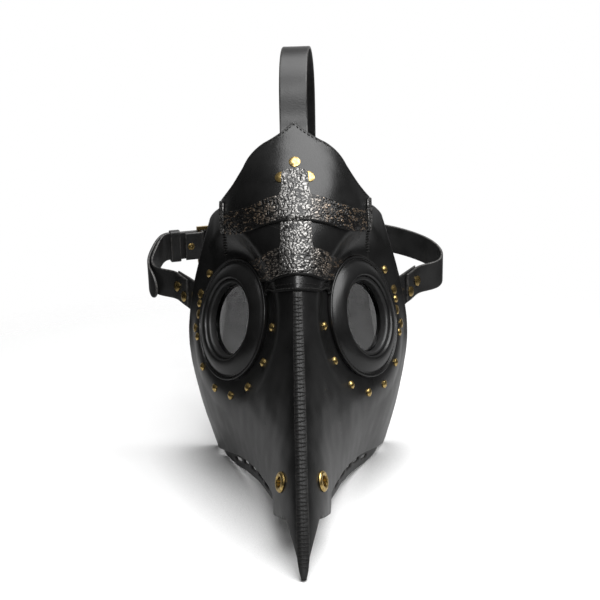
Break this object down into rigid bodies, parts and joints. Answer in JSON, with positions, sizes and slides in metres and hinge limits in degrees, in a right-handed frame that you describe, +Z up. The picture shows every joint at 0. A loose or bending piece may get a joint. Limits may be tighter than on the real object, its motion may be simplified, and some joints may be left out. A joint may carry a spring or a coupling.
{
  "type": "plague doctor mask",
  "caption": "Long-beaked leather plague doctor mask with round padded goggle eyes, layered forehead panel, brass rivets and a buckled head harness.",
  "frame": {"origin": "on the table plane, in the mask's plane of symmetry, under the middle of the whole length; the beak tip and the cheeks' lower corners rest on Z = 0", "axes": "+Z up, -Y towards the beak tip, +X to the right of the mask as seen from the front; the wearer's face enters from +Y"},
  "size_m": [0.2624, 0.3345, 0.3421],
  "materials": {
    "shell_leather": "smooth black, satin",
    "panel_leather": "smooth black, satin",
    "lining_leather": "black, matt",
    "crackle_leather": "crackled metallic silver-bronze",
    "seam_leather": "black with ladder stitching",
    "ring_leather": "padded black, satin",
    "lens_tube": "black",
    "smoked_lens": "smoked grey",
    "antique_brass": "antique, worn",
    "strap_leather": "black bridle leather, satin"
  },
  "bodies": {
    "mask": {"brow_flap": "panel_leather", "buckle_fold_rivet": "antique_brass", "chin_panel_left": "lining_leather", "chin_panel_right": "lining_leather", "crackle_band_lower": "crackle_leather", "crackle_band_upper": "crackle_leather", "crackle_strip": "crackle_leather", "eye_ring_left": "ring_leather", "eye_ring_right": "ring_leather", "eye_studs_left": "antique_brass", "eye_studs_right": "antique_brass", "eyelet_washer_left": "antique_brass", "eyelet_washer_right": "antique_brass", "face_shell_left": "shell_leather", "face_shell_right": "shell_leather", "forehead_lining": "lining_leather", "forehead_panel_lower": "panel_leather", "forehead_panel_upper": "panel_leather", "forehead_rivets": "antique_brass", "lens_cup_left": "lens_tube", "lens_cup_right": "lens_tube", "lens_left": "smoked_lens", "lens_retainer_left": "lens_tube", "lens_retainer_right": "lens_tube", "lens_right": "smoked_lens", "nostril_eyelet_left": "antique_brass", "nostril_eyelet_right": "antique_brass", "ridge_seam_strip": "seam_leather", "side_tab_left": "strap_leather", "side_tab_right": "strap_leather", "strap_left": "strap_leather", "strap_right": "strap_leather", "strap_rivets_left": "antique_brass", "strap_rivets_right": "antique_brass", "tab_rivets_left": "antique_brass", "tab_rivets_right": "antique_brass", "top_strap": "strap_leather", "top_strap_rivet": "antique_brass"},
    "buckle_frame": {"buckle_frame": "antique_brass"},
    "buckle_prong": {"buckle_prong": "antique_brass"},
    "strap_keeper": {"strap_keeper": "strap_leather"}
  },
  "joints": [
    {"name": "buckle_tilt", "type": "hinge", "parent": "mask", "child": "buckle_frame", "pos_m": [-0.088, 0.1516, 0.1635], "axis": [0, 0, 1], "range_deg": [-1, 8]},
    {"name": "prong_swing", "type": "hinge", "parent": "buckle_frame", "child": "buckle_prong", "pos_m": [-0.088, 0.1516, 0.1635], "axis": [0, 0, 1], "range_deg": [0, 10]},
    {"name": "keeper_slide", "type": "slide", "parent": "mask", "child": "strap_keeper", "axis": [0.9511, 0.309, 0], "range_m": [-0.004, 0.004]}
  ]
}
